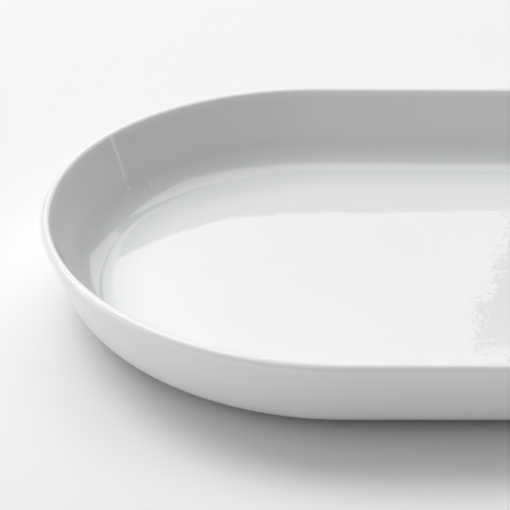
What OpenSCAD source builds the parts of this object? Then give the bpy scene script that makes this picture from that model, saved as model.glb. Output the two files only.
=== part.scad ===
// Oblong serving plate in white glazed stoneware, with two half-round ends.
// It is a shallow flat-bottomed dish: the well's floor turns up through a fillet into a
// flared wall, which thickens downward from its full-round lip, and underneath an undercut
// runs in to a foot ring.
// The clay body is one casting. Glaze coats it everywhere but round the foot's ground tread,
// so the glaze is in two pieces: the main coat, and the patch inside the foot ring.
// The origin is on the table, under the middle of the plate, with its length along X.

/* [Plan] */
// Overall length of the plate
plate_length = 300; // [260:5:420]
// Overall width of the plate, which is also twice the radius of each round end
plate_width = 180; // [160:5:220]

/* [Side wall] */
// Overall height from the table to the top of the lip
plate_height = 31; // [28:0.5:40]
// Thickness of the glazed wall at the lip, which rounds it off in full
wall_t = 3.2; // [2.6:0.1:4.2]
// Angle by which the wall's outer face leans out from upright, in degrees
wall_flare = 20; // [16:1:22]
// Radius of the outer bend where the wall turns under
heel_r = 13; // [8:0.5:14]
// Angle of the undercut above the table, in degrees
undercut_slope = 28; // [24:1:32]
// Thickness of the glazed body round the bend between the wall and the floor
bend_t = 3.1; // [2.6:0.1:3.6]

/* [Well] */
// Thickness of the glazed floor
floor_t = 3.3; // [2.6:0.1:4.2]
// Angle by which the wall's inner face leans out from upright, in degrees
well_flare = 22; // [22:1:26]
// Radius of the fillet between the floor and the wall
well_fillet_r = 13; // [10:0.5:15]

/* [Foot ring] */
// Height of the foot ring below the underside
foot_h = 2.5; // [2:0.1:3.5]
// Width of the glazed foot ring across its two sides
foot_w = 4; // [3.4:0.1:6]
// Distance of the foot's outer side in from where the undercut ends
foot_setback = 5; // [4:0.5:12]
// Radius of the coves where the foot's sides meet the underside
foot_cove_r = 1; // [0.6:0.1:1.4]
// Radius of the two edges of the ground tread
tread_edge_r = 0.5; // [0.3:0.1:0.7]
// Radius by which the undercut eases into the flat underside
underside_r = 6; // [3:0.5:8]

/* [Glaze] */
// Thickness of the fired glaze
glaze_t = 0.3; // [0.2:0.05:0.5]
// Height of bare clay above the table on the foot's sides
bare_h = 1.2; // [0.8:0.1:1.4]

/* [Hidden] */
$fn = 128;

clay_colour = "#d9d3c8";
glaze_colour = "#f4f4f2";

half_turn = 180;
quarter_turn = 90;
// How far a cutting shape runs past what it cuts
overrun = 2;
// How far a corner's tip runs on past the corner, as a share of its distance from the arc's centre
tip_share = 0.2;

end_r = plate_width / 2;
// Distance between the centres of the two round ends
straight_length = plate_length - plate_width;
lip_r = wall_t / 2;
lip_centre = [end_r - lip_r, plate_height - lip_r];
floor_z = foot_h + floor_t;

// Each straight line of the section is a unit normal and its distance from the origin.
// The normals point away from the plate's middle line, or up, or down.
out_n = [1, 0];
down_n = [0, -1];
wall_n = [cos(wall_flare), -sin(wall_flare)];
well_n = [cos(well_flare), -sin(well_flare)];
undercut_n = [sin(undercut_slope), -cos(undercut_slope)];
outer_wall_d = wall_n * lip_centre + lip_r;
inner_wall_d = well_n * lip_centre - lip_r;
// The undercut keeps the bend's thickness away from the well's fillet
fillet_centre = meet(well_n, inner_wall_d - well_fillet_r, down_n, -floor_z - well_fillet_r);
undercut_d = undercut_n * fillet_centre + well_fillet_r + bend_t;

underside_end_r = meet(undercut_n, undercut_d, down_n, -foot_h).x;
// The foot's radii are whole tenths of a millimetre
foot_outer_r = round(10 * (underside_end_r - foot_setback)) / 10;
foot_inner_r = foot_outer_r - foot_w;
foot_middle_r = (foot_outer_r + foot_inner_r) / 2;

// Point where two lines meet
function meet(n1, d1, n2, d2) =
    [d1 * n2.y - d2 * n1.y, n1.x * d2 - n2.x * d1] / (n1.x * n2.y - n2.x * n1.y);

// Corner between two lines, outside the arc of radius r that touches both.
// Both normals point away from the arc's centre, and the tip runs on past the corner.
module corner(n1, d1, n2, d2, r) {
    centre = meet(n1, d1 - r, n2, d2 - r);
    tip = meet(n1, d1, n2, d2);
    difference() {
        polygon([centre, centre + r * n1, tip + (tip - centre) * tip_share, centre + r * n2]);
        translate(centre) circle(r = r);
    }
}

// Draws a shape on the right of the middle line, and again on the left
module both_sides() {
    children();
    mirror([1, 0]) children();
}

// Closed shape across the middle line, from the points of its right side
module across(points) {
    polygon(concat(points, [for (i = [len(points) - 1:-1:0]) [-points[i].x, points[i].y]]));
}

// The body with its well filled in, up to the start of the lip's round, drawn in by inset from
// the glaze's surface. Its top runs on over the well past the wall.
module filled_section(inset) {
    lip = lip_r - inset;
    outer_end = lip_centre + lip * wall_n;
    inner_end = lip_centre - lip * well_n;
    difference() {
        across([
            meet(undercut_n, undercut_d - inset, down_n, -foot_h - inset),
            meet(undercut_n, undercut_d - inset, wall_n, outer_wall_d - inset),
            outer_end,
            inner_end + (inner_end - outer_end) * tip_share,
        ]);
        both_sides() {
            corner(
                undercut_n, undercut_d - inset,
                wall_n, outer_wall_d - inset,
                heel_r - inset
            );
            corner(
                down_n, -foot_h - inset,
                undercut_n, undercut_d - inset,
                underside_r - inset
            );
        }
    }
}

// The well, whose sides run on past the lip
module well_section(inset) {
    top = lip_centre.y + lip_r + overrun;
    difference() {
        across([
            meet(well_n, inner_wall_d + inset, down_n, -floor_z + inset),
            meet(well_n, inner_wall_d + inset, down_n, -top),
        ]);
        both_sides() corner(
            well_n, inner_wall_d + inset,
            down_n, -floor_z + inset,
            well_fillet_r + inset
        );
    }
}

// Cove where an upright side at x meets the underside at height z, open to the right where
// side is 1 and to the left where it is -1. Its back half lies inside the body.
module cove(x, z, side, r) {
    difference() {
        translate([x, z]) square(2 * r, center = true);
        translate([x + side * r, z - r]) circle(r = r);
    }
}

// One side of the foot ring, with rounded edges at its tread and coves at its root
module foot_section(inset) {
    outer = foot_outer_r - inset;
    inner = foot_inner_r + inset;
    root = foot_h + inset;
    difference() {
        translate([inner, 0]) square([outer - inner, root + floor_t / 2]);
        corner(out_n, outer, down_n, 0, tread_edge_r);
        corner(-out_n, -inner, down_n, 0, tread_edge_r);
    }
    cove(outer, root, 1, foot_cove_r - inset);
    cove(inner, root, -1, foot_cove_r - inset);
}

// Section across the width of the plate, drawn in by inset from the glaze's surface
module plate_section(inset) {
    difference() {
        filled_section(inset);
        well_section(inset);
    }
    both_sides() {
        translate(lip_centre) circle(r = lip_r - inset);
        foot_section(inset);
    }
}

// Section of all the glaze: none is left on the foot below the line where it was wiped off
module glaze_section() {
    difference() {
        plate_section(0);
        plate_section(glaze_t);
        both_sides() translate([foot_inner_r - overrun, -overrun])
            square([foot_w + 2 * overrun, overrun + bare_h]);
    }
}

// Space between the two sides of the foot ring, up to the middle of the floor
module recess_section() {
    translate([-foot_middle_r, -overrun])
        square([2 * foot_middle_r, overrun + foot_h + floor_t / 2]);
}

// Carries a section round the plate: two half turns and the straight run between them
module round_the_plate() {
    for (side = [0, 1])
        mirror([side, 0, 0])
            translate([straight_length / 2, 0, 0])
                rotate([0, 0, -quarter_turn])
                    rotate_extrude(angle = half_turn)
                        intersection() {
                            children();
                            translate([0, -overrun])
                                square([end_r + overrun, plate_height + 2 * overrun]);
                        }
    translate([-straight_length / 2, 0, 0])
        rotate([quarter_turn, 0, quarter_turn])
            linear_extrude(straight_length) children();
}

module clay_body() {
    color(clay_colour) round_the_plate() plate_section(glaze_t);
}

module main_glaze() {
    color(glaze_colour) round_the_plate() difference() {
        glaze_section();
        recess_section();
    }
}

module foot_recess_glaze() {
    color(glaze_colour) round_the_plate() intersection() {
        glaze_section();
        recess_section();
    }
}

clay_body();
main_glaze();
foot_recess_glaze();
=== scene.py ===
"""Looks of an oblong serving plate in white glazed stoneware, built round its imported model.

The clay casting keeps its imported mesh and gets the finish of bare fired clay. The two
glazed surfaces are drawn again as smooth closed skins that lie on the casting: a section
is drawn as a chain of straight runs and arcs, spun round each end of the plate and drawn
out along its straight sides. Every length is in metres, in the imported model's own frame,
with the plate's length along X and the table at Z = 0.
"""

import logging
import math
from dataclasses import dataclass
from enum import Enum
from typing import Optional, Sequence, Union

import bpy
from mathutils import Matrix, Vector

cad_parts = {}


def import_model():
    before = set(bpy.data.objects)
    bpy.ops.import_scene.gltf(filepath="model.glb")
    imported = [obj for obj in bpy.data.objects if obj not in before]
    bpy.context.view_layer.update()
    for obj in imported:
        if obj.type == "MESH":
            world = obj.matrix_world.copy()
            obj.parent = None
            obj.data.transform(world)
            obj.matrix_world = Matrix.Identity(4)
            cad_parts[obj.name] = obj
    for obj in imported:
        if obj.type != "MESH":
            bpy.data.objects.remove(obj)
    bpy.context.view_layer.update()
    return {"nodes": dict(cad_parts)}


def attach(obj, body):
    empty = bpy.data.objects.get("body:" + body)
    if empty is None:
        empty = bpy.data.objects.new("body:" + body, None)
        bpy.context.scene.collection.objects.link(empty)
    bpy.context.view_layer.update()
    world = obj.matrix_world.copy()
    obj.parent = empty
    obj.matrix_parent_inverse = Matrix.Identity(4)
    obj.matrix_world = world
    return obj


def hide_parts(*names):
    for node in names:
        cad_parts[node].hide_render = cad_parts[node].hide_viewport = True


LOG = logging.getLogger("serving_plate")

MM = 0.001
QUARTER_TURN = math.pi / 2
HALF_TURN = math.pi
# Points of a skin that are nearer to each other than this become one
MERGE_DISTANCE = 0.002 * MM
# Edges of a skin that bend more than this stay sharp
SMOOTH_ANGLE = math.radians(40)

Point = tuple[float, float]
Place = tuple[float, float, float]
Span = tuple[float, float]
Colour = tuple[float, float, float]
Key = Union[str, int]
SocketValue = Union[float, Sequence[float], "Signal"]


class Ray(Enum):
    """Kinds of ray that the Light Path node tells apart."""

    CAMERA = "Is Camera Ray"
    GLOSSY = "Is Glossy Ray"
    TRANSMISSION = "Is Transmission Ray"


class Turn(Enum):
    """Ways in which an arc of a section runs, seen with the radius to the right."""

    LEFT = 1.0
    RIGHT = -1.0


class Stance(Enum):
    """Ways in which a soft box stands."""

    FACING = "square to the line from the plate"
    UPRIGHT = "straight up from the table"


# Shader expressions


class Signal:
    """A shader socket that takes part in Python expressions."""

    def __init__(self, graph: "Graph", socket: bpy.types.NodeSocket) -> None:
        """Wraps an output socket.

        Args:
            graph: The node graph that holds the socket.
            socket: The output socket.
        """
        self.graph = graph
        self.socket = socket

    def _math(self, operation: str, *values: SocketValue) -> "Signal":
        """Adds one Math node.

        Args:
            operation: The Math node's operation.
            values: The node's inputs, in order.

        Returns:
            The node's result.
        """
        inputs = dict(enumerate(values))
        return self.graph.add("ShaderNodeMath", inputs, {"operation": operation})

    def __add__(self, other: SocketValue) -> "Signal":
        """Adds."""
        return self._math("ADD", self, other)

    def __sub__(self, other: SocketValue) -> "Signal":
        """Subtracts."""
        return self._math("SUBTRACT", self, other)

    def __rsub__(self, other: SocketValue) -> "Signal":
        """Subtracts from a number."""
        return self._math("SUBTRACT", other, self)

    def __mul__(self, other: SocketValue) -> "Signal":
        """Multiplies."""
        return self._math("MULTIPLY", self, other)

    def __abs__(self) -> "Signal":
        """Drops the sign."""
        return self._math("ABSOLUTE", self)

    def at_least(self, other: SocketValue) -> "Signal":
        """Takes the larger of the two."""
        return self._math("MAXIMUM", self, other)

    def at_most(self, other: SocketValue) -> "Signal":
        """Takes the smaller of the two."""
        return self._math("MINIMUM", self, other)

    def root(self) -> "Signal":
        """Takes the square root."""
        return self._math("SQRT", self)

    def ramp(self, span: Span, start: float = 0.0) -> "Signal":
        """Rises smoothly from 0 at the first value of a span to 1 at the second.

        Args:
            span: The two values, of which the second may be the lower.
            start: The value from which the span is counted.

        Returns:
            The eased share between 0 and 1.
        """
        low, high = (start + value for value in span)
        if low > high:
            return 1.0 - self.ramp((high, low))
        inputs = {"Value": self, "From Min": low, "From Max": high}
        settings = {"interpolation_type": "SMOOTHSTEP"}
        return self.graph.add("ShaderNodeMapRange", inputs, settings)


class Graph:
    """A node graph of a material or the world, built from Python expressions."""

    def __init__(self, tree: bpy.types.NodeTree) -> None:
        """Empties a node tree to build in.

        Args:
            tree: The node tree of the material or the world.
        """
        self.tree = tree
        tree.nodes.clear()

    def add(
        self,
        kind: str,
        inputs: Optional[dict[Key, SocketValue]] = None,
        settings: Optional[dict[str, object]] = None,
        output: Key = 0,
    ) -> Signal:
        """Adds a node.

        Args:
            kind: The node's type.
            inputs: Values or signals of its sockets, by name or by number.
            settings: The node's own properties, set before its sockets.
            output: The output that is wanted, by name or by number.

        Returns:
            The wanted output.
        """
        node = self.tree.nodes.new(kind)
        for name, value in (settings or {}).items():
            setattr(node, name, value)
        for key, value in (inputs or {}).items():
            self._feed(self._find(node.inputs, key), value)
        return Signal(self, self._find(node.outputs, output))

    def _find(self, sockets: Sequence[bpy.types.NodeSocket], key: Key) -> bpy.types.NodeSocket:
        """Finds a socket among those in use.

        Args:
            sockets: The node's inputs or outputs.
            key: The socket's name, or its number among those in use.

        Returns:
            The socket.
        """
        used = [socket for socket in sockets if socket.enabled]
        if isinstance(key, int):
            return used[key]
        return next(socket for socket in used if socket.name == key)

    def _feed(self, socket: bpy.types.NodeSocket, value: SocketValue) -> None:
        """Links a signal to a socket, or sets the socket's own value.

        Args:
            socket: The input socket.
            value: The signal, number, place or colour.
        """
        if isinstance(value, Signal):
            self.tree.links.new(value.socket, socket)
        elif socket.type == "RGBA":
            socket.default_value = (*value, 1.0)
        else:
            socket.default_value = value

    def place(self) -> Signal:
        """Gives the place on the piece, in metres in the plate's frame."""
        return self.add("ShaderNodeTexCoord", output="Object")

    def axes(self, vector: Signal) -> tuple[Signal, Signal, Signal]:
        """Splits a vector into its three parts.

        Args:
            vector: The vector.

        Returns:
            The parts along X, Y and Z.
        """
        first = self.add("ShaderNodeSeparateXYZ", {"Vector": vector}, output="X")
        outputs = first.socket.node.outputs
        return first, Signal(self, outputs["Y"]), Signal(self, outputs["Z"])

    def blend(self, share: Signal, first: SocketValue, second: SocketValue) -> Signal:
        """Mixes two colours.

        Args:
            share: How much of the second colour shows.
            first: The colour at 0.
            second: The colour at 1.

        Returns:
            The mixed colour.
        """
        inputs = {"Factor": share, "A": first, "B": second}
        return self.add("ShaderNodeMix", inputs, {"data_type": "RGBA"})

    def relief(self, height: Signal) -> Signal:
        """Turns a height into a normal.

        Args:
            height: The height of the relief in millimetres.

        Returns:
            The normal.
        """
        inputs = {"Strength": 1.0, "Distance": MM, "Height": height}
        return self.add("ShaderNodeBump", inputs)

    def rays(self, kinds: Sequence[Ray]) -> Signal:
        """Tells some kinds of ray from the rest.

        Args:
            kinds: The kinds of ray.

        Returns:
            1 for a ray of one of these kinds, and 0 for any other.
        """
        found = self.add("ShaderNodeLightPath", output=kinds[0].value)
        outputs = found.socket.node.outputs
        for kind in kinds[1:]:
            found = found.at_least(Signal(self, outputs[kind.value]))
        return found

    def close(self, shader: Signal, kind: str = "ShaderNodeOutputMaterial") -> None:
        """Ends the graph in its output node.

        Args:
            shader: The finished surface or background.
            kind: The output node's type.
        """
        output = self.tree.nodes.new(kind)
        self.tree.links.new(shader.socket, output.inputs["Surface"])


# Sizes of the plate


@dataclass(frozen=True)
class PlateSizes:
    """Driving sizes of the plate and of its section, in metres and radians.

    A point of the section is its distance from the plate's middle line and its height.
    """

    straight_length: float = 120 * MM
    end_radius: float = 90 * MM
    height: float = 31 * MM
    wall: float = 3.2 * MM
    flare: float = math.radians(20)
    heel_radius: float = 13 * MM
    undercut_slope: float = math.radians(28)
    bend: float = 3.1 * MM
    floor: float = 3.3 * MM
    well_flare: float = math.radians(22)
    fillet_radius: float = 13 * MM
    foot_height: float = 2.5 * MM
    foot_width: float = 4 * MM
    foot_setback: float = 5 * MM
    foot_cove_radius: float = 1 * MM
    underside_radius: float = 6 * MM
    glaze: float = 0.3 * MM
    bare_clay: float = 1.2 * MM

    @property
    def end_x(self) -> float:
        """Distance of each round end's centre from the plate's middle."""
        return self.straight_length / 2

    @property
    def floor_z(self) -> float:
        """Height of the well's floor above the table."""
        return self.foot_height + self.floor

    @property
    def edge_z(self) -> float:
        """Height at which the glaze on the foot starts to round off above the bare clay."""
        return self.bare_clay + self.glaze

    @property
    def lip_centre(self) -> Vector:
        """Centre of the full-round lip."""
        return Vector((self.end_radius - self.wall / 2, self.height - self.wall / 2))

    @property
    def wall_normal(self) -> Vector:
        """Direction that the outer wall faces."""
        return Vector((math.cos(self.flare), -math.sin(self.flare)))

    @property
    def well_normal(self) -> Vector:
        """Direction from the well to its wall, square to the wall's inner face."""
        return Vector((math.cos(self.well_flare), -math.sin(self.well_flare)))

    @property
    def undercut_normal(self) -> Vector:
        """Direction that the undercut faces."""
        return Vector((math.sin(self.undercut_slope), -math.cos(self.undercut_slope)))

    @property
    def fillet_centre(self) -> Vector:
        """Centre of the arc between the well's floor and its wall."""
        z = self.floor_z + self.fillet_radius
        inner_wall = self.well_normal.dot(self.lip_centre) - self.wall / 2
        across = inner_wall - self.fillet_radius - self.well_normal.y * z
        return Vector((across / self.well_normal.x, z))

    @property
    def undercut_reach(self) -> float:
        """Distance of the undercut's line from the section's origin."""
        away = self.undercut_normal.dot(self.fillet_centre)
        return away + self.fillet_radius + self.bend

    @property
    def heel_centre(self) -> Vector:
        """Centre of the arc between the outer wall and the undercut."""
        outer_wall = self.wall_normal.dot(self.lip_centre) + self.wall / 2
        rows = Matrix((self.wall_normal, self.undercut_normal))
        reach = Vector((outer_wall, self.undercut_reach))
        return rows.inverted() @ (reach - Vector((self.heel_radius, self.heel_radius)))

    @property
    def underside_centre(self) -> Vector:
        """Centre of the arc that eases the undercut into the flat underside."""
        z = self.foot_height + self.underside_radius
        reach = self.undercut_reach - self.underside_radius
        across = reach - self.undercut_normal.y * z
        return Vector((across / self.undercut_normal.x, z))

    @property
    def foot_outer(self) -> float:
        """Distance of the foot's glazed outer side from the middle line, in whole tenths."""
        end = self.undercut_reach - self.undercut_normal.y * self.foot_height
        return round(end / self.undercut_normal.x - self.foot_setback, 4)

    @property
    def foot_inner(self) -> float:
        """Distance of the foot's glazed inner side from the plate's middle line."""
        return self.foot_outer - self.foot_width

    @property
    def fillet_turn(self) -> float:
        """Angle through which the fillet bends the floor up into the wall."""
        return QUARTER_TURN - self.well_flare

    @property
    def lip_turn(self) -> float:
        """Angle through which the lip rounds off the wall."""
        return HALF_TURN - (self.well_flare - self.flare)

    @property
    def heel_turn(self) -> float:
        """Angle through which the heel bends the outer wall into the undercut."""
        return QUARTER_TURN - self.flare - self.undercut_slope


# Drawing and carrying a section


class SectionPen:
    """Draws a section as one chain of edges, from its last point on.

    The section stands across the plate at the left end's centre, on the camera's side.
    """

    def __init__(self, name: str, sizes: PlateSizes, start: Point) -> None:
        """Starts the chain with one point.

        Args:
            name: Name of the piece that the section becomes.
            sizes: The plate's sizes.
            start: The first point of the section.
        """
        self.sizes = sizes
        self.at = Vector(start)
        bpy.ops.object.select_all(action="DESELECT")
        bpy.ops.mesh.primitive_plane_add(size=sizes.wall, location=(0, 0, 0))
        self.piece = bpy.context.object
        self.piece.name = name
        self.piece.data.name = name
        bpy.ops.object.mode_set(mode="EDIT")
        bpy.ops.mesh.select_all(action="SELECT")
        bpy.ops.mesh.merge(type="CENTER")
        bpy.ops.transform.translate(value=self._space(self.at))

    def _space(self, point: Vector) -> Vector:
        """Places a point of the section in space.

        Args:
            point: The point's distance from the middle line and its height.

        Returns:
            The point's place in the plate's frame.
        """
        return Vector((-self.sizes.end_x, -point.x, point.y))

    def line(self, end: Vector, steps: int = 1) -> None:
        """Draws a straight run.

        Args:
            end: Where the run ends.
            steps: Number of edges in it.
        """
        step = (end - self.at) / steps
        move = {"value": (0.0, -step.x, step.y)}
        for _ in range(steps):
            bpy.ops.mesh.extrude_region_move(TRANSFORM_OT_translate=move)
        self.at = end

    def arc(self, centre: Vector, angle: float, turn: Turn, steps: int) -> None:
        """Draws an arc from the last point.

        Args:
            centre: The arc's centre.
            angle: How far the arc runs, in radians.
            turn: Which way it runs.
            steps: Number of edges in it.
        """
        bpy.ops.mesh.spin(
            steps=steps,
            angle=angle * turn.value,
            center=self._space(centre),
            axis=(1.0, 0.0, 0.0),
        )
        spoke = self.at - centre
        spoke.rotate(Matrix.Rotation(angle * turn.value, 2))
        self.at = centre + spoke

    def carry_round(self, end_steps: int, side_steps: int) -> bpy.types.Object:
        """Carries the whole section round the plate and closes the skin.

        Args:
            end_steps: Number of faces round each half-round end.
            side_steps: Number of faces along each straight side.

        Returns:
            The finished piece.
        """
        bpy.ops.mesh.select_all(action="SELECT")
        for side in (-1.0, 1.0):
            centre = (side * self.sizes.end_x, 0.0, 0.0)
            bpy.ops.mesh.spin(
                steps=end_steps, angle=HALF_TURN, center=centre, axis=(0.0, 0.0, 1.0)
            )
            step = -side * self.sizes.straight_length / side_steps
            move = {"value": (step, 0.0, 0.0)}
            for _ in range(side_steps):
                bpy.ops.mesh.extrude_region_move(TRANSFORM_OT_translate=move)
        bpy.ops.mesh.select_all(action="SELECT")
        bpy.ops.mesh.remove_doubles(threshold=MERGE_DISTANCE)
        bpy.ops.mesh.normals_make_consistent(inside=False)
        bpy.ops.mesh.select_all(action="DESELECT")
        bpy.ops.object.mode_set(mode="OBJECT")
        bpy.ops.object.shade_smooth_by_angle(angle=SMOOTH_ANGLE)
        return self.piece


# Finishes


@dataclass(frozen=True)
class Noise:
    """A noise pattern.

    Attributes:
        scale: Number of bumps in a metre.
        detail: Number of finer layers.
        amount: How much the pattern counts, in millimetres where it is a relief.
        rough: Share that each finer layer keeps.
    """

    scale: float
    detail: float
    amount: float = 1.0
    rough: float = 0.5

    def pattern(self, graph: Graph, place: Signal) -> Signal:
        """Adds the pattern to a graph.

        Args:
            graph: The node graph.
            place: Where the pattern is read.

        Returns:
            The pattern, around a half.
        """
        inputs = {
            "Vector": place,
            "Scale": self.scale,
            "Detail": self.detail,
            "Roughness": self.rough,
        }
        return graph.add("ShaderNodeTexNoise", inputs)

    def layer(self, graph: Graph, place: Signal) -> Signal:
        """Adds the pattern at its own amount.

        Args:
            graph: The node graph.
            place: Where the pattern is read.

        Returns:
            The pattern times its amount.
        """
        return self.pattern(graph, place) * self.amount


@dataclass(frozen=True)
class Specks:
    """Small round specks, one to a cell at most.

    Attributes:
        scale: Number of cells in a metre.
        size: Radius of a speck as a share of its cell.
        depth: How far a speck is sunk, in millimetres.
    """

    scale: float
    size: float
    depth: float

    def pattern(self, graph: Graph, place: Signal) -> Signal:
        """Adds the specks to a graph.

        Args:
            graph: The node graph.
            place: Where the pattern is read.

        Returns:
            1 in the middle of a speck, and 0 between the specks.
        """
        inputs = {"Vector": place, "Scale": self.scale, "Randomness": 1.0}
        away = graph.add("ShaderNodeTexVoronoi", inputs, {"feature": "F1"}, "Distance")
        return away.ramp((self.size, 0.0))


@dataclass(frozen=True)
class Nib:
    """A small raised speck that fired into the glaze.

    Attributes:
        place: Where it stands, in the plate's frame.
        radius: How far it reaches.
        height: How high it stands, in millimetres.
    """

    place: Place
    radius: float
    height: float = 0.06

    def away(self, graph: Graph, place: Signal) -> Signal:
        """Measures how far off the nib is.

        Args:
            graph: The node graph.
            place: Where the distance is read.

        Returns:
            The distance from the nib.
        """
        inputs = {0: place, 1: self.place}
        return graph.add("ShaderNodeVectorMath", inputs, {"operation": "DISTANCE"}, "Value")


@dataclass(frozen=True)
class Finish:
    """A finish of a piece, which becomes a material."""

    def _surface(self, graph: Graph, place: Signal) -> Signal:
        """Builds the shader.

        Args:
            graph: The material's node graph.
            place: The place on the piece.

        Returns:
            The finished shader.
        """
        raise NotImplementedError

    def material(self, name: str) -> bpy.types.Material:
        """Builds the finish.

        Args:
            name: The material's name.

        Returns:
            The new material.
        """
        material = bpy.data.materials.new(name)
        material.use_nodes = True
        graph = Graph(material.node_tree)
        graph.close(self._surface(graph, graph.place()))
        LOG.info("%s: finish", name)
        return material


@dataclass(frozen=True)
class WhiteGlaze(Finish):
    """Glossy white glaze, a little wavy, with painted shade in the well's corner and the foot's
    cove, a painted highlight on the lip and painted glints on its nibs.

    Attributes:
        sizes: The plate's sizes.
        full: Colour of the glaze where it lies even.
        thick_glaze_and_shade: Colour of the soft clouds of thicker glaze, and of the painted
            shade in the well's corner and the foot's cove.
        lip_highlight: Paler colour painted along the lip's top as a highlight.
        nib_glint: Near-white colour painted at the middle of each nib as a glint.
        roughness: Roughness of the cleanest glaze.
        roughness_spread: How much rougher the smears are.
        ior: Index of refraction.
        smear: Pattern of the smears.
        smear_span: Values of that pattern between which a smear grows.
        warp: Slow unevenness of the ware.
        wave: Waviness of the glaze.
        ripple: Fine ripple of the glaze, in full on the well's floor.
        ripple_across: Span across the fillet's start over which the ripple grows.
        ripple_rest: Share of the ripple that is left everywhere else.
        pits: Pinholes.
        cloud: Soft clouds of thicker glaze.
        wall_shade_across: Span across the fillet's start over which the painted shade along the
            foot of the well's wall grows.
        wall_shade_up: Heights between which that painted shade fades out up the wall.
        cove_shade_across: Span outside the foot over which the painted shade in the cove grows.
        cove_shade_up: Heights between which the painted shade in the cove fades out.
        shade_share: Share of the darker colour that is painted in as shade along the foot of the
            wall and in the cove.
        lip_highlight_up: Heights, counted from the lip's top, between which the painted highlight
            grows.
        nibs: The raised specks that show.
    """

    sizes: PlateSizes
    full: Colour = (0.872, 0.878, 0.880)
    thick_glaze_and_shade: Colour = (0.780, 0.797, 0.803)
    lip_highlight: Colour = (0.925, 0.925, 0.918)
    nib_glint: Colour = (0.985, 0.985, 0.985)
    roughness: float = 0.008
    roughness_spread: float = 0.02
    ior: float = 1.5
    smear: Noise = Noise(60.0, 3.0)
    smear_span: Span = (0.35, 0.75)
    warp: Noise = Noise(18.0, 0.0, 0.4)
    wave: Noise = Noise(95.0, 1.0, 0.06)
    ripple: Noise = Noise(420.0, 1.0, 0.024)
    ripple_across: Span = (2 * MM, -8 * MM)
    ripple_rest: float = 0.2
    pits: Specks = Specks(105.0, 0.022, 0.02)
    cloud: Noise = Noise(22.0, 2.0, 0.35)
    wall_shade_across: Span = (-12 * MM, 2 * MM)
    wall_shade_up: Span = (17 * MM, 8 * MM)
    cove_shade_across: Span = (4 * MM, 0.0)
    cove_shade_up: Span = (3.2 * MM, 2.2 * MM)
    shade_share: float = 0.8
    lip_highlight_up: Span = (-3 * MM, -1 * MM)
    nibs: tuple[Nib, ...] = (
        Nib((-119.6 * MM, 51.3 * MM, 10.8 * MM), 0.8 * MM, 0.10),
        Nib((-141.1 * MM, 16.9 * MM, 19.8 * MM), 0.55 * MM),
        Nib((-144.6 * MM, 3.7 * MM, 24.4 * MM), 0.55 * MM),
        Nib((-144.6 * MM, -1.5 * MM, 24.4 * MM), 0.45 * MM),
        Nib((-126.0 * MM, 56.6 * MM, 30.2 * MM), 0.5 * MM),
    )

    def _from_spine(self, x: Signal, y: Signal) -> Signal:
        """Measures the distance from the plate's middle line, round the ends too.

        Args:
            x: Place along the plate.
            y: Place across it.

        Returns:
            The distance, which is that of the section's points.
        """
        past_end = (abs(x) - self.sizes.end_x).at_least(0.0)
        return (past_end * past_end + y * y).root()

    def _height(self, graph: Graph, place: Signal) -> Signal:
        """Builds the relief of the glaze's surface.

        Args:
            graph: The material's node graph.
            place: The place on the piece.

        Returns:
            The relief in millimetres.
        """
        x, y, _ = graph.axes(place)
        flat = self._from_spine(x, y).ramp(self.ripple_across, self.sizes.fillet_centre.x)
        share = flat * (1.0 - self.ripple_rest) + self.ripple_rest
        height = self.warp.layer(graph, place) + self.wave.layer(graph, place)
        height = height + self.ripple.layer(graph, place) * share
        for nib in self.nibs:
            height = height + nib.away(graph, place).ramp((nib.radius, 0.0)) * nib.height
        return height - self.pits.pattern(graph, place) * self.pits.depth

    def _colour(self, graph: Graph, place: Signal) -> Signal:
        """Builds the glaze's colour, with painted shade in the well's corner and the foot's cove,
        a painted highlight on the lip's top and painted glints on the nibs.

        Args:
            graph: The material's node graph.
            place: The place on the piece.

        Returns:
            The colour.
        """
        x, y, z = graph.axes(place)
        out = self._from_spine(x, y)
        # Painted shade: the floor and fillet along the foot of the well's wall, and the cove
        # outside the foot, are coloured darker and cooler; soft clouds of thicker glaze add to
        # that colour at random.
        wall_foot_shade = out.ramp(self.wall_shade_across, self.sizes.fillet_centre.x) * z.ramp(self.wall_shade_up)
        cove = out.ramp(self.cove_shade_across, self.sizes.foot_outer) * z.ramp(self.cove_shade_up)
        thick_glaze_and_shade = wall_foot_shade.at_least(cove) * self.shade_share + self.cloud.layer(graph, place)
        body = graph.blend(thick_glaze_and_shade.at_most(1.0), self.full, self.thick_glaze_and_shade)
        # Painted highlight: the top of the lip is coloured paler than the rest of the glaze.
        colour = graph.blend(z.ramp(self.lip_highlight_up, self.sizes.height), body, self.lip_highlight)
        # Painted glints: the middle of each nib is coloured near white.
        for nib in self.nibs:
            glint_share = nib.away(graph, place).ramp((nib.radius, nib.radius / 2))
            colour = graph.blend(glint_share, colour, self.nib_glint)
        return colour

    def _surface(self, graph: Graph, place: Signal) -> Signal:
        """Builds the shader.

        Args:
            graph: The material's node graph.
            place: The place on the piece.

        Returns:
            The finished shader.
        """
        smear = self.smear.pattern(graph, place).ramp(self.smear_span)
        inputs = {
            "Base Color": self._colour(graph, place),
            "Roughness": smear * self.roughness_spread + self.roughness,
            "IOR": self.ior,
            "Normal": graph.relief(self._height(graph, place)),
        }
        return graph.add("ShaderNodeBsdfPrincipled", inputs)


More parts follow.
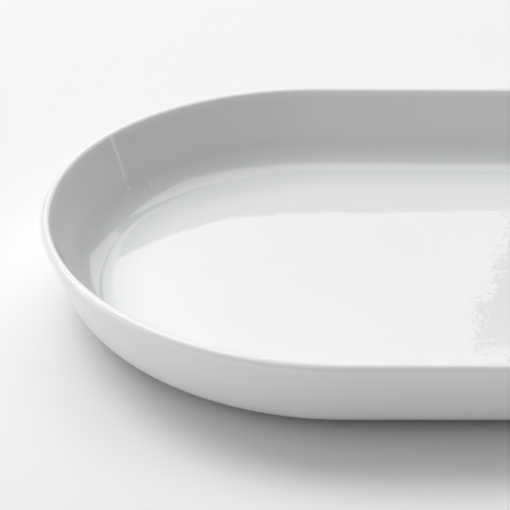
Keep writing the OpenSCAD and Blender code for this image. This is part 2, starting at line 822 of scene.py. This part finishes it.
@dataclass(frozen=True)
class BareClay(Finish):
    """Fired clay without glaze: matt, warm and fine grained, worn where it stands.

    Attributes:
        body: Colour of the clay.
        grain_colour: Colour of its coarser grains.
        iron_colour: Colour of the iron specks.
        worn: Colour of the tread where it rubbed.
        roughness: Roughness of the clay before its grain and wear.
        ior: Index of refraction.
        grain: Pattern and relief of the grain.
        grain_span: Values of that pattern between which a grain's colour grows.
        grain_roughness: How much rougher the grains are.
        cloud: Pattern and relief of the casting's slow unevenness.
        cloud_span: Values of that pattern between which the tread looks rubbed.
        iron: The iron specks.
        iron_share: How strongly an iron speck colours the clay.
        tread_up: Heights between which the ground tread starts.
        worn_share: How strongly the tread is coloured.
        polish: How much smoother the tread is.
    """

    body: Colour = (0.700, 0.655, 0.590)
    grain_colour: Colour = (0.560, 0.500, 0.430)
    iron_colour: Colour = (0.300, 0.220, 0.160)
    worn: Colour = (0.520, 0.500, 0.470)
    roughness: float = 0.78
    ior: float = 1.5
    grain: Noise = Noise(1900.0, 4.0, 0.05, 0.6)
    grain_span: Span = (0.35, 0.7)
    grain_roughness: float = 0.1
    cloud: Noise = Noise(120.0, 3.0, 0.05)
    cloud_span: Span = (0.4, 0.7)
    iron: Specks = Specks(700.0, 0.16, 0.03)
    iron_share: float = 0.7
    tread_up: Span = (0.45 * MM, 0.05 * MM)
    worn_share: float = 0.7
    polish: float = 0.18

    def _surface(self, graph: Graph, place: Signal) -> Signal:
        """Builds the shader.

        Args:
            graph: The material's node graph.
            place: The place on the piece.

        Returns:
            The finished shader.
        """
        grain = self.grain.pattern(graph, place)
        cloud = self.cloud.pattern(graph, place)
        iron = self.iron.pattern(graph, place)
        tread = graph.axes(place)[2].ramp(self.tread_up)
        rubbed = tread * cloud.ramp(self.cloud_span) * self.worn_share
        colour = graph.blend(grain.ramp(self.grain_span), self.body, self.grain_colour)
        colour = graph.blend(iron * self.iron_share, colour, self.iron_colour)
        height = grain * self.grain.amount - iron * self.iron.depth
        inputs = {
            "Base Color": graph.blend(rubbed, colour, self.worn),
            "Roughness": self.roughness - tread * self.polish + grain * self.grain_roughness,
            "IOR": self.ior,
            "Normal": graph.relief(height + cloud * self.cloud.amount),
        }
        return graph.add("ShaderNodeBsdfPrincipled", inputs)


@dataclass(frozen=True)
class TableTop(Finish):
    """Matt white studio table that fades to an even white away from the plate.

    Attributes:
        colour: Colour of the table.
        far_level: Level of the even white.
        fade: Distances from the plate's middle between which it fades.
    """

    colour: Colour = (0.925, 0.925, 0.925)
    far_level: float = 0.915
    fade: Span = (0.42, 1.0)

    def _surface(self, graph: Graph, place: Signal) -> Signal:
        """Builds the shader.

        Args:
            graph: The material's node graph.
            place: The place on the table.

        Returns:
            The finished shader.
        """
        x, y, _ = graph.axes(place)
        matt = graph.add("ShaderNodeBsdfDiffuse", {"Color": self.colour})
        level = (self.far_level,) * 3
        glow = graph.add("ShaderNodeEmission", {"Color": level, "Strength": 1.0})
        away = (x * x + y * y).root().ramp(self.fade)
        seen = graph.rays((Ray.CAMERA, Ray.GLOSSY, Ray.TRANSMISSION))
        return graph.add("ShaderNodeMixShader", {0: away * seen, 1: matt, 2: glow})


# Pieces of the plate


@dataclass(frozen=True)
class ClayCasting:
    """The one fired casting, which shows only where the glaze was wiped off the foot."""

    node: str = "clay_body"
    slot: str = "bare_clay"

    def dress(self, casting: bpy.types.Object, clay: bpy.types.Material) -> None:
        """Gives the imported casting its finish.

        Args:
            casting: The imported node's object.
            clay: The finish of bare clay.
        """
        casting.data.materials.clear()
        casting.data.materials.append(clay)
        LOG.info("%s: packed mesh of %d faces", casting.name, len(casting.data.polygons))


@dataclass(frozen=True)
class Steps:
    """Numbers of edges in the runs and arcs of one face of a glaze skin."""

    floor: int = 14
    fillet: int = 32
    inner_wall: int = 12
    lip: int = 28
    outer_wall: int = 10
    heel: int = 18
    undercut: int = 6
    underside_bend: int = 8
    underside: int = 3
    cove: int = 8
    edge: int = 4


BACK_STEPS = Steps(
    floor=2,
    fillet=14,
    inner_wall=1,
    lip=12,
    outer_wall=1,
    heel=8,
    undercut=1,
    underside_bend=4,
    underside=1,
    cove=4,
)


@dataclass(frozen=True)
class GlazeSkin:
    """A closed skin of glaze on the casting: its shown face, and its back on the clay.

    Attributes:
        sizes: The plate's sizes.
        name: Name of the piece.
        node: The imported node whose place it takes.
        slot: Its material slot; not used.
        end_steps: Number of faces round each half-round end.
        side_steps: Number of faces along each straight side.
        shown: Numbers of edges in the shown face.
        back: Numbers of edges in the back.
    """

    sizes: PlateSizes
    name: str
    node: str
    slot: str = "white_glaze"
    end_steps: int = 128
    side_steps: int = 24
    shown: Steps = Steps()
    back: Steps = BACK_STEPS

    def draw(self) -> SectionPen:
        """Draws the skin's section.

        Returns:
            The pen, with the whole section drawn.
        """
        raise NotImplementedError

    def build(self, glaze: bpy.types.Material) -> bpy.types.Object:
        """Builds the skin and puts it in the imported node's place.

        Args:
            glaze: The finish of the glaze.

        Returns:
            The finished piece.
        """
        piece = self.draw().carry_round(self.end_steps, self.side_steps)
        piece.data.materials.append(glaze)
        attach(piece, "root")
        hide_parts(self.node)
        LOG.info("%s: new mesh of %d faces", piece.name, len(piece.data.polygons))
        return piece


@dataclass(frozen=True)
class MainGlaze(GlazeSkin):
    """The glaze of the well, the lip, the outer wall, the undercut and the foot's outside."""

    name: str = "main_glaze_skin"
    node: str = "main_glaze"

    def _well_to_lip(self, pen: SectionPen) -> None:
        """Draws the shown face from the well's middle up and over the lip.

        Args:
            pen: The pen, at the middle of the well's floor.
        """
        s = self.sizes
        steps = self.shown
        pen.line(Vector((s.fillet_centre.x, s.floor_z)), steps.floor)
        pen.arc(s.fillet_centre, s.fillet_turn, Turn.LEFT, steps.fillet)
        pen.line(s.lip_centre - s.wall / 2 * s.well_normal, steps.inner_wall)
        pen.arc(s.lip_centre, s.lip_turn, Turn.RIGHT, steps.lip)

    def _lip_to_foot(self, pen: SectionPen) -> None:
        """Draws the shown face from the lip down to the glaze line.

        Args:
            pen: The pen, where the lip meets the outer wall.
        """
        s = self.sizes
        steps = self.shown
        cove = s.foot_cove_radius
        cove_x = s.foot_outer + cove
        pen.line(s.heel_centre + s.heel_radius * s.wall_normal, steps.outer_wall)
        pen.arc(s.heel_centre, s.heel_turn, Turn.RIGHT, steps.heel)
        pen.line(s.underside_centre + s.underside_radius * s.undercut_normal, steps.undercut)
        pen.arc(s.underside_centre, s.undercut_slope, Turn.RIGHT, steps.underside_bend)
        pen.line(Vector((cove_x, s.foot_height)), steps.underside)
        pen.arc(Vector((cove_x, s.foot_height - cove)), QUARTER_TURN, Turn.LEFT, steps.cove)
        pen.line(Vector((s.foot_outer, s.edge_z)))
        pen.arc(Vector((s.foot_outer - s.glaze, s.edge_z)), QUARTER_TURN, Turn.RIGHT, steps.edge)

    def _back(self, pen: SectionPen) -> None:
        """Draws the skin's back, on the clay, from the glaze line to the well's middle.

        Args:
            pen: The pen, on the clay at the glaze line.
        """
        s = self.sizes
        steps = self.back
        side = s.foot_outer - s.glaze
        root = s.foot_height + s.glaze
        cove = s.foot_cove_radius - s.glaze
        heel = s.heel_radius - s.glaze
        lip = s.wall / 2 - s.glaze
        fillet = s.fillet_radius + s.glaze
        pen.line(Vector((side, root - cove)))
        pen.arc(Vector((side + cove, root - cove)), QUARTER_TURN, Turn.RIGHT, steps.cove)
        pen.line(Vector((s.underside_centre.x, root)), steps.underside)
        pen.arc(s.underside_centre, s.undercut_slope, Turn.LEFT, steps.underside_bend)
        pen.line(s.heel_centre + heel * s.undercut_normal, steps.undercut)
        pen.arc(s.heel_centre, s.heel_turn, Turn.LEFT, steps.heel)
        pen.line(s.lip_centre + lip * s.wall_normal, steps.outer_wall)
        pen.arc(s.lip_centre, s.lip_turn, Turn.LEFT, steps.lip)
        pen.line(s.fillet_centre + fillet * s.well_normal, steps.inner_wall)
        pen.arc(s.fillet_centre, s.fillet_turn, Turn.RIGHT, steps.fillet)
        pen.line(Vector((0.0, s.floor_z - s.glaze)), steps.floor)

    def draw(self) -> SectionPen:
        """Draws the skin's section, out from the well's middle and back on the clay.

        Returns:
            The pen, with the whole section drawn.
        """
        pen = SectionPen(self.name, self.sizes, (0.0, self.sizes.floor_z))
        self._well_to_lip(pen)
        self._lip_to_foot(pen)
        self._back(pen)
        return pen


@dataclass(frozen=True)
class FootRecessGlaze(GlazeSkin):
    """The patch of glaze inside the foot ring."""

    name: str = "foot_recess_glaze_skin"
    node: str = "foot_recess_glaze"
    shown: Steps = Steps(floor=12)

    def draw(self) -> SectionPen:
        """Draws the skin's section, out from the middle and back on the clay.

        Returns:
            The pen, with the whole section drawn.
        """
        s = self.sizes
        cove = s.foot_cove_radius
        clay_cove = cove - s.glaze
        cove_x = s.foot_inner - cove
        side = s.foot_inner + s.glaze
        root = s.foot_height + s.glaze
        clay_centre = Vector((side - clay_cove, root - clay_cove))
        pen = SectionPen(self.name, s, (0.0, s.foot_height))
        pen.line(Vector((cove_x, s.foot_height)), self.shown.floor)
        pen.arc(Vector((cove_x, s.foot_height - cove)), QUARTER_TURN, Turn.RIGHT, self.shown.cove)
        pen.line(Vector((s.foot_inner, s.edge_z)))
        pen.arc(Vector((side, s.edge_z)), QUARTER_TURN, Turn.LEFT, self.shown.edge)
        pen.line(Vector((side, root - clay_cove)))
        pen.arc(clay_centre, QUARTER_TURN, Turn.LEFT, self.back.cove)
        pen.line(Vector((0.0, root)), self.back.floor)
        return pen


# Studio


@dataclass(frozen=True)
class SoftBox:
    """A soft box: a rectangle of even light. Its angles are in degrees, seen from the plate.

    Attributes:
        name: The lamp's name.
        azimuth: Where its middle is, from straight behind the plate towards the right.
        elevation: How high its middle is above the table.
        half_width: Half the angle that it fills from side to side.
        half_height: Half the angle that it fills from bottom to top.
        radiance: How bright it looks, where 1 is white.
        stance: How it stands.
        roll: How far it is turned about the line from the plate.
        distance: How far away it is, in metres.
    """

    name: str
    azimuth: float
    elevation: float
    half_width: float
    half_height: float
    radiance: float
    stance: Stance = Stance.FACING
    roll: float = 0.0
    distance: float = 3.0

    def _reach(self, angle: float) -> float:
        """Gives the length that fills an angle at the box's distance.

        Args:
            angle: The angle, in degrees.

        Returns:
            The length.
        """
        return self.distance * math.tan(math.radians(angle))

    def _axes(self) -> tuple[Vector, Vector, Vector]:
        """Gives the directions to the right, up and away, as seen from the plate."""
        turn = math.radians(self.azimuth)
        rise = math.radians(self.elevation) if self.stance is Stance.FACING else 0.0
        level = Vector((math.sin(turn), math.cos(turn), 0.0))
        away = math.cos(rise) * level + Vector((0.0, 0.0, math.sin(rise)))
        right = Vector((math.cos(turn), -math.sin(turn), 0.0))
        tilt = Matrix.Rotation(-math.radians(self.roll), 3, away)
        return tilt @ right, tilt @ right.cross(away), away

    def build(self) -> bpy.types.Object:
        """Adds the lamp.

        Returns:
            The lamp's object.
        """
        right, up, away = self._axes()
        place = away * self.distance
        height = 2 * self._reach(self.half_height)
        if self.stance is Stance.UPRIGHT:
            top = self._reach(self.elevation + self.half_height)
            foot = self._reach(self.elevation - self.half_height)
            place = place + up * (top + foot) / 2
            height = top - foot
        facing = Matrix((-right, up, away)).transposed()
        bpy.ops.object.light_add(type="AREA", location=place, rotation=facing.to_euler())
        lamp = bpy.context.object
        lamp.name = self.name
        lamp.data.shape = "RECTANGLE"
        lamp.data.size = 2 * self._reach(self.half_width)
        lamp.data.size_y = height
        lamp.data.energy = self.radiance * lamp.data.size * height * math.pi
        lamp.visible_camera = False
        LOG.info("%s: soft box", lamp.name)
        return lamp


@dataclass(frozen=True)
class EdgeStep:
    """One step of a bank's ragged right edge: how far right it reaches, and its heights."""

    right: float
    low: float
    high: float


@dataclass(frozen=True)
class GradedBank:
    """Upright strips of light side by side, brighter from one to the next towards the left.

    Azimuths and elevations are in degrees, seen from the plate.

    Attributes:
        name: Start of the lamps' names.
        left: Azimuth of the bank's left edge.
        bend: Azimuth left of which its light stays the same.
        right: Azimuth of its right edge.
        low: Elevation of its bottom.
        high: Elevation of its top.
        level: Radiance at its right edge.
        slope: Radiance that it gains evenly up to the bend.
        peak: Radiance that it gains mostly near the bend.
        peak_power: How late that gain comes.
        strips: Number of strips between the right edge and the bend.
        steps: Steps by which the bank reaches past its right edge.
    """

    name: str
    left: float
    bend: float
    right: float
    low: float
    high: float
    level: float
    slope: float
    peak: float
    peak_power: int = 6
    strips: int = 12
    steps: tuple[EdgeStep, ...] = ()

    def _radiance(self, azimuth: float) -> float:
        """Gives the light's level.

        Args:
            azimuth: Where it is asked.

        Returns:
            The radiance there.
        """
        share = min((self.right - azimuth) / (self.right - self.bend), 1.0)
        return self.level + self.slope * share + self.peak * share**self.peak_power

    def _box(self, name: str, sides: Span, heights: Span, azimuth: float) -> SoftBox:
        """Makes an upright box out of its edges.

        Args:
            name: The lamp's name.
            sides: Azimuths of its left and right edges.
            heights: Elevations of its bottom and top.
            azimuth: Where its level is taken.

        Returns:
            The soft box.
        """
        return SoftBox(
            name=name,
            azimuth=(sides[0] + sides[1]) / 2,
            elevation=(heights[0] + heights[1]) / 2,
            half_width=(sides[1] - sides[0]) / 2,
            half_height=(heights[1] - heights[0]) / 2,
            radiance=self._radiance(azimuth),
            stance=Stance.UPRIGHT,
        )

    def build(self) -> None:
        """Adds the strips from right to left, the wide box on their left, and the steps."""
        heights = (self.low, self.high)
        width = (self.right - self.bend) / self.strips
        for index in range(self.strips):
            right = self.right - index * width
            name = f"{self.name}_box_{index + 1}"
            self._box(name, (right - width, right), heights, right - width / 2).build()
        self._box(f"{self.name}_box", (self.left, self.bend), heights, self.bend).build()
        for index, step in enumerate(self.steps):
            name = f"{self.name}_edge_{index + 1}"
            sides = (self.right, step.right)
            self._box(name, sides, (step.low, step.high), self.right).build()


@dataclass(frozen=True)
class PhotoCamera:
    """The camera.

    Attributes:
        eye: Where it stands.
        pitch: How far it looks down.
        yaw: How far it looks to the right.
        roll: How far it is turned about its own line of sight.
        lens: Focal length in millimetres.
        sensor: Width of its sensor in millimetres.
        near: Distance from which on it sees.
    """

    eye: Place = (-0.08858, -0.40841, 0.24832)
    pitch: float = math.radians(30.01)
    yaw: float = math.radians(0.659)
    roll: float = math.radians(0.469)
    lens: float = 105.5
    sensor: float = 36.0
    near: float = 0.01

    def build(self) -> bpy.types.Object:
        """Adds the camera and makes it the scene's own.

        Returns:
            The camera's object.
        """
        ahead = Vector(
            (
                math.sin(self.yaw) * math.cos(self.pitch),
                math.cos(self.yaw) * math.cos(self.pitch),
                -math.sin(self.pitch),
            )
        )
        level = ahead.cross(Vector((0.0, 0.0, 1.0))).normalized()
        upright = level.cross(ahead)
        right = math.cos(self.roll) * level + math.sin(self.roll) * upright
        up = math.cos(self.roll) * upright - math.sin(self.roll) * level
        axes = Matrix((right, up, -ahead)).transposed()
        bpy.ops.object.camera_add(location=self.eye, rotation=axes.to_euler())
        camera = bpy.context.object
        camera.data.lens = self.lens
        camera.data.sensor_width = self.sensor
        camera.data.clip_start = self.near
        bpy.context.scene.camera = camera
        return camera


@dataclass(frozen=True)
class Studio:
    """The table, the world, the soft boxes and the camera."""

    table_size: float = 8.0
    world_level: float = 0.17
    back: GradedBank = GradedBank(
        name="back",
        left=-15.5,
        bend=-8.0,
        right=9.9,
        low=13.0,
        high=43.0,
        level=1.22,
        slope=0.40,
        peak=0.57,
        steps=(
            EdgeStep(10.70, 26.0, 27.7),
            EdgeStep(11.60, 27.7, 29.3),
            EdgeStep(11.04, 29.3, 31.2),
            EdgeStep(10.40, 32.0, 34.0),
            EdgeStep(12.40, 34.0, 43.0),
        ),
    )
    boxes: tuple[SoftBox, ...] = (
        SoftBox("back_right_box", 22.5, 22.5, 9.0, 14.5, 1.35, Stance.UPRIGHT),
        SoftBox("overhead_box", 8.0, 70.0, 28.5, 17.0, 1.78, roll=-22.0),
        SoftBox("back_left_box", -55.0, 52.0, 12.0, 23.0, 2.40),
        SoftBox("left_box", -99.0, 62.0, 48.0, 14.5, 1.03),
        SoftBox("low_left_box", -90.0, 10.5, 16.0, 8.0, 2.35),
        SoftBox("side_strip", 78.1, 8.0, 0.7, 6.5, 1.50, Stance.UPRIGHT),
    )
    camera: PhotoCamera = PhotoCamera()

    def _table(self, finish: bpy.types.Material) -> None:
        """Adds the table under the plate.

        Args:
            finish: The finish of the table.
        """
        bpy.ops.object.select_all(action="DESELECT")
        bpy.ops.mesh.primitive_plane_add(size=self.table_size, location=(0, 0, 0))
        table = bpy.context.object
        table.name = "studio_table"
        table.data.materials.append(finish)
        LOG.info("%s: stage", table.name)

    def _world(self) -> None:
        """Gives the world a weak even light."""
        world = bpy.data.worlds.new("studio_world")
        world.use_nodes = True
        bpy.context.scene.world = world
        graph = Graph(world.node_tree)
        level = (self.world_level,) * 3
        light = graph.add("ShaderNodeBackground", {"Color": level, "Strength": 1.0})
        graph.close(light, "ShaderNodeOutputWorld")

    def build(self, table: bpy.types.Material) -> None:
        """Builds the whole studio.

        Args:
            table: The finish of the table.
        """
        self._table(table)
        self._world()
        self.back.build()
        for box in self.boxes:
            box.build()
        self.camera.build()
        bpy.context.scene.view_settings.view_transform = "Standard"


def main() -> None:
    """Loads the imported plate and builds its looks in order."""
    logging.basicConfig(level=logging.INFO, format="%(name)s: %(message)s")
    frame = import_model()
    sizes = PlateSizes()
    glaze = WhiteGlaze(sizes).material("white_glaze")
    clay = BareClay().material("bare_clay")
    casting = ClayCasting()
    casting.dress(frame["nodes"][casting.node], clay)
    for skin in (MainGlaze(sizes), FootRecessGlaze(sizes)):
        skin.build(glaze)
    Studio().build(TableTop().material("studio_table"))
    bpy.context.view_layer.update()


if __name__ == "__main__":
    main()
